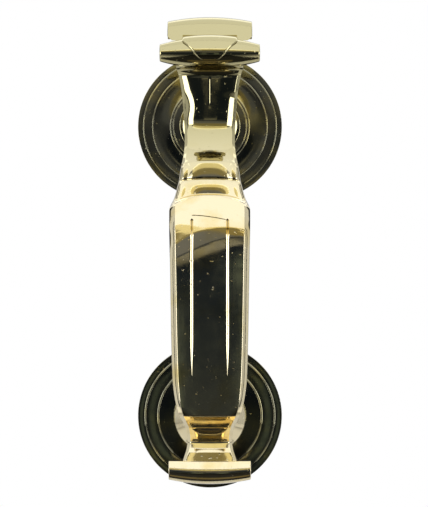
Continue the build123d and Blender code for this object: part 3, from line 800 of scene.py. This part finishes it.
def bracket_arm():
    """The gooseneck from the boss up to the scroll."""
    shape = (
        smooth_curve((0, 12.0), (0.25, 22.5), (0.5, 28.0), (0.75, 31.2), (1, 33.5)),  # forward
        smooth_curve((0, 0.0), (0.25, 3.6), (0.5, 13.0), (0.75, 25.5), (1, 38.5)),  # up
        smooth_curve((0, 8.2), (0.3, 7.2), (0.6, 7.6), (1, 10.5)),  # half width
        smooth_curve((0, 6.0), (0.3, 4.4), (0.6, 3.9), (1, 4.6)),  # half thickness
    )
    stations = [[float(value(along)) for value in shape] for along in np.linspace(0, 1, 60)]
    return rounded_bar("arm", stations, ARM_CORNER)


def scroll_section(across, radius):
    """(forward, up) points of the scroll's outline about its centre, at a distance from its middle."""
    tilt = math.radians(SCROLL_LIP_TILT)
    full = barrel_radius(across, SCROLL_HALF_WIDTH, SCROLL_MIDDLE_RADIUS, SCROLL_END_RADIUS)
    share = min(1.0, radius / full)
    corner = max(0.0, abs(across) - (SCROLL_HALF_WIDTH - SCROLL_CORNER))
    drop = (SCROLL_UP - SCROLL_UNDERSIDE - corner + full * math.sin(tilt)) * share
    lip = np.array([radius * math.cos(tilt), radius * math.sin(tilt)])
    foot = lip + drop * np.array([math.tan(tilt), -1])
    back = np.array([-radius * 0.9, min(foot[1] + 4.0 * share, 0.0)])
    turns = np.radians(np.linspace(SCROLL_LIP_TILT, 185, 48))
    round_part = [(radius * math.cos(t), radius * math.sin(t)) for t in turns]
    under = [back + (foot - back) * s for s in np.linspace(0, 1, 8)]
    front = [foot + (lip - foot) * s for s in np.linspace(0, 1, 8)[1:-1]]
    return np.array(round_part + under + front)


def back_scroll():
    """The roll behind the hinge: round over the top, a straight lip in front and a flat underside."""
    rings = []
    for across, radius in barrel_outline(SCROLL_HALF_WIDTH, SCROLL_MIDDLE_RADIUS, SCROLL_END_RADIUS, 1.0):
        forward, up = scroll_section(across, max(radius, TINY)).T
        rings.append(np.column_stack([
            np.full(len(up), across), SCROLL_FORWARD + forward, SCROLL_UP + up,
        ]))
    return mesh_piece("scroll", *skin(rings))


def make_bracket():
    """The casting: boss, arm and scroll, hollowed for the hinge roll, then leaf, web and lug."""
    outline = [(0, SPIGOT_BACK), (SPIGOT_RADIUS, SPIGOT_BACK), (SPIGOT_RADIUS, ROSE_SEAT)]
    outline += [(BOSS_RADIUS, ROSE_SEAT), (BOSS_RADIUS, 10.6)]
    outline += arc(outline[-1], (9.8, 12.2), (8.3, BOSS_TOP), 12)
    bracket = turned("bracket_casting", softened(outline + [(0, BOSS_TOP)], EDGE), 0.0)
    combine(bracket, bracket_arm(), "UNION")
    bridge = [(33, 33), (39, 31.5), (41.0, PIVOT_UP + 8.0), (36.5, SCROLL_UP + 0.5)]
    combine(bracket, block_between("bridge", bridge, BRIDGE_HALF_WIDTH), "UNION")
    combine(bracket, back_scroll(), "UNION")
    space_outline = barrel_outline(
        HINGE_HALF_WIDTH + 1, HINGE_MIDDLE_RADIUS + ROLL_GAP, HINGE_END_RADIUS + ROLL_GAP, 0.1,
    )
    combine(bracket, turned_across("space", space_outline, PIVOT_FORWARD, PIVOT_UP), "DIFFERENCE")
    combine(bracket, leaf(), "UNION")
    web = round_the_pin(WEB_RADIUS, WEB_START, WEB_END)
    web += round_the_pin(WEB_INNER_RADIUS, WEB_START, WEB_END)[::-1]
    combine(bracket, block_between("web", web, WEB_HALF_WIDTH), "UNION")
    combine(bracket, block_between("lug", disc_at_pin(LUG_RADIUS), LUG_HALF_WIDTH), "UNION")
    combine(bracket, pin_space(PIN_TURN_RADIUS, LUG_HALF_WIDTH + 2), "DIFFERENCE")
    tidy_mesh(bracket)
    return bracket


bracket = make_bracket()
finish_piece(bracket, "mounting", "cast_brass", cast_brass, "hinge_bracket")

# ---- anvil and striker ----------------------------------------------------------------------------
STRIKE_FORWARD = 24.0  # where the striker's hollow meets the anvil's dome
STRIKER_RADIUS = 7.5
STRIKER_BACK = 33.5  # set against the back of the handle
STRIKER_STEM_RADIUS = 3.0


def make_anvil():
    """A turned cone with a narrow waist and a domed head."""
    outline = [(0, SPIGOT_BACK), (SPIGOT_RADIUS, SPIGOT_BACK), (SPIGOT_RADIUS, ROSE_SEAT)]
    outline += [(15.6, ROSE_SEAT), (15.6, 9.4), (9.4, 14.6)]
    outline += arc(outline[-1], (7.6, 17.0), (6.9, 19.0), 20)
    outline += arc(outline[-1], (8.4, 20.6), (8.0, 22.5), 14)
    outline += arc(outline[-1], (4.2, 23.6), (0, STRIKE_FORWARD), 14)
    return turned("anvil_turned", softened(outline, 0.3), -FIXING_CENTRES)


anvil = make_anvil()
finish_piece(anvil, "mounting", "turned_brass", turned_brass, "anvil")


def make_striker():
    """A turned button with a hollow face, and the stem that holds it in the handle."""
    outline = [(0, STRIKE_FORWARD)] + arc((0, STRIKE_FORWARD), (4.0, 24.55), (7.4, 26.0), 14)
    outline += [(STRIKER_RADIUS, STRIKER_BACK), (STRIKER_STEM_RADIUS, STRIKER_BACK)]
    outline += [(STRIKER_STEM_RADIUS, 41.9), (0, 41.9)]
    return turned("striker_turned", softened(outline, 0.4), -FIXING_CENTRES)


striker = make_striker()
finish_piece(striker, "knocker", "turned_brass", turned_brass, "striker_button")

# ---- carried CAD nodes ----------------------------------------------------------------------------
CARRIED = {
    "top_rose_nut": nut_brass, "bottom_rose_nut": nut_brass, "top_door_washer": nut_brass,
    "bottom_door_washer": nut_brass, "top_dome_nut": nut_brass, "bottom_dome_nut": nut_brass,
    "top_fixing_stud": stud_steel, "bottom_fixing_stud": stud_steel, "locating_pins": pin_steel,
    "hinge_washers": washer_bronze, "hinge_pin": pin_steel, "pin_plugs": turned_brass,
    "pin_set_screws": screw_steel,
}
for node_name, material in CARRIED.items():
    node = frame["nodes"][node_name]
    node.data.materials.clear()
    node.data.materials.append(material)

# ---- camera ---------------------------------------------------------------------------------------
CAMERA_DISTANCE = 0.95
CAMERA_RIGHT = 1.8 * MM
CAMERA_UP = -56.4 * MM
VIEW_HEIGHT = 226.122 * MM  # of the picture, at the door's face
SENSOR = 36.0
camera_data = bpy.data.cameras.new("camera")
camera_data.sensor_width = SENSOR
camera_data.lens = SENSOR * CAMERA_DISTANCE / VIEW_HEIGHT
camera = bpy.data.objects.new("camera", camera_data)
camera.location = (CAMERA_RIGHT, -CAMERA_DISTANCE, CAMERA_UP)
camera.rotation_euler = (math.radians(90), 0, 0)
bpy.context.scene.collection.objects.link(camera)
bpy.context.scene.camera = camera

# ---- studio ---------------------------------------------------------------------------------------
MIDDLE = Vector((0, -45, -56)) * MM  # of the knocker: every lamp faces it
NEUTRAL = (0.96, 1.0, 1.12)
ROOM_COLOUR = (0.42, 0.60, 1.0)
ROOM_STRENGTH = 0.026


def softbox(name, azimuth, elevation, distance, width, height, radiance, colour=NEUTRAL):
    """A soft lamp that faces the knocker, placed by its direction in degrees: azimuth to the right,
    elevation up. Distance, width and height are in metres."""
    light = bpy.data.lights.new(name, "AREA")
    light.shape = "RECTANGLE"
    light.size = width
    light.size_y = height
    light.energy = radiance * math.pi * width * height
    light.color = colour
    lamp = bpy.data.objects.new(name, light)
    side, rise = math.radians(azimuth), math.radians(elevation)
    direction = Vector((
        math.sin(side) * math.cos(rise), -math.cos(side) * math.cos(rise), math.sin(rise),
    ))
    lamp.location = MIDDLE + direction * distance
    lamp.rotation_euler = direction.to_track_quat("Z", "Y").to_euler()
    bpy.context.scene.collection.objects.link(lamp)


def plain_material(name, colour, roughness):
    material, _, _, shader = nodes_of(name)
    shader.inputs["Base Color"].default_value = (*colour, 1)
    shader.inputs["Roughness"].default_value = roughness
    return material


def studio_sheet(name, half_width, front, back, up, material):
    """A level sheet in the studio, from front to back in metres."""
    corners = [(side * half_width, front, up) for side in (-1, 1)]
    corners += [(side * half_width, back, up) for side in (1, -1)]
    mesh = bpy.data.meshes.new(name)
    mesh.from_pydata(corners, [], [(0, 1, 2, 3)])
    mesh.materials.append(material)
    sheet = bpy.data.objects.new(name, mesh)
    bpy.context.scene.collection.objects.link(sheet)
    return sheet


def studio_world():
    """White to the camera; a dim, bluish room to everything else."""
    world = bpy.data.worlds.new("studio")
    bpy.context.scene.world = world
    world.use_nodes = True
    nodes, links = world.node_tree.nodes, world.node_tree.links
    nodes.clear()
    seen = nodes.new("ShaderNodeBackground")
    seen.inputs["Color"].default_value = (1, 1, 1, 1)
    seen.inputs["Strength"].default_value = 1.0
    room = nodes.new("ShaderNodeBackground")
    room.inputs["Color"].default_value = (*ROOM_COLOUR, 1)
    room.inputs["Strength"].default_value = ROOM_STRENGTH
    rays = nodes.new("ShaderNodeLightPath")
    mix = nodes.new("ShaderNodeMixShader")
    out = nodes.new("ShaderNodeOutputWorld")
    links.new(rays.outputs["Is Camera Ray"], mix.inputs["Fac"])
    links.new(room.outputs["Background"], mix.inputs[1])
    links.new(seen.outputs["Background"], mix.inputs[2])
    links.new(mix.outputs["Shader"], out.inputs["Surface"])


# Over the knocker, round its sides and behind it: these give the pale planes and the bright edges.
softbox("front_canopy", 0, 53, 0.589, 2.0, 0.60, 1.3)
softbox("top_canopy", 0, 108, 0.68, 2.0, 0.72, 1.2)
softbox("back_canopy", 180, 44, 1.2, 2.4, 0.8, 0.7)
softbox("left_wall", -78, 2, 1.0, 0.34, 1.1, 0.62)
softbox("right_wall", 78, 2, 1.0, 0.34, 1.1, 0.58)
softbox("left_side", -101, 2, 1.0, 0.36, 1.1, 0.75)
softbox("right_side", 101, 2, 1.0, 0.36, 1.1, 0.7)
softbox("left_strip", -51, 0, 0.95, 0.36, 0.5, 4.0)
softbox("right_strip", 51, 0, 0.95, 0.36, 0.5, 4.0)
softbox("backdrop", 180, 2, 1.1, 2.8, 1.3, 0.65)

# In front, from high to low: what the faces that look at the camera mirror.
softbox("gold_card", 0, 22.5, 1.2, 2.0, 0.15, 0.95, (1.0, 0.91, 0.55))
softbox("dark_gold_card", 0, 15.5, 1.3, 2.0, 0.155, 0.26, (1.0, 0.86, 0.4))
softbox("dim_wall", 0, 9.25, 1.5, 2.6, 0.145, 0.16)
softbox("dark_wall", 0, 4.4, 1.5, 2.6, 0.108, 0.05)
softbox("tan_card", 0, 1.27, 1.5, 0.3, 0.05, 0.27, (1.0, 0.98, 0.85))
softbox("low_wall", 0, -6.7, 1.5, 2.6, 0.07, 0.008, (0.9, 1.0, 0.9))
softbox("lower_wall", 0, -13.5, 1.5, 2.6, 0.28, 0.022, (0.95, 1.0, 0.85))
softbox("low_gold_card", 0, -66, 0.38, 0.22, 0.10, 0.12, (1.0, 0.8, 0.35))

# Beside the grip's own reflection, where only the bottom rose mirrors them.
softbox("left_rose_card", -4.4, -7.3, 1.5, 0.09, 0.2, 0.115, (0.95, 1.15, 0.95))
softbox("right_rose_card", 4.4, -7.3, 1.5, 0.09, 0.2, 0.115, (0.95, 1.15, 0.95))

# A dark cloth that the camera doesn't see keeps the undersides of the polished rolls dark.
black_cloth = plain_material("black_cloth", (0.01, 0.01, 0.01), 1.0)
black_card = studio_sheet("black_card", 0.3, -1.7, -0.03, -0.46, black_cloth)
black_card.visible_camera = False
floor_paper = plain_material("floor_paper", (0.86, 0.85, 0.83), 0.9)
studio_sheet("floor", 1.6, -1.6, 1.6, -0.62, floor_paper)
studio_world()
bpy.context.scene.view_settings.view_transform = "Standard"
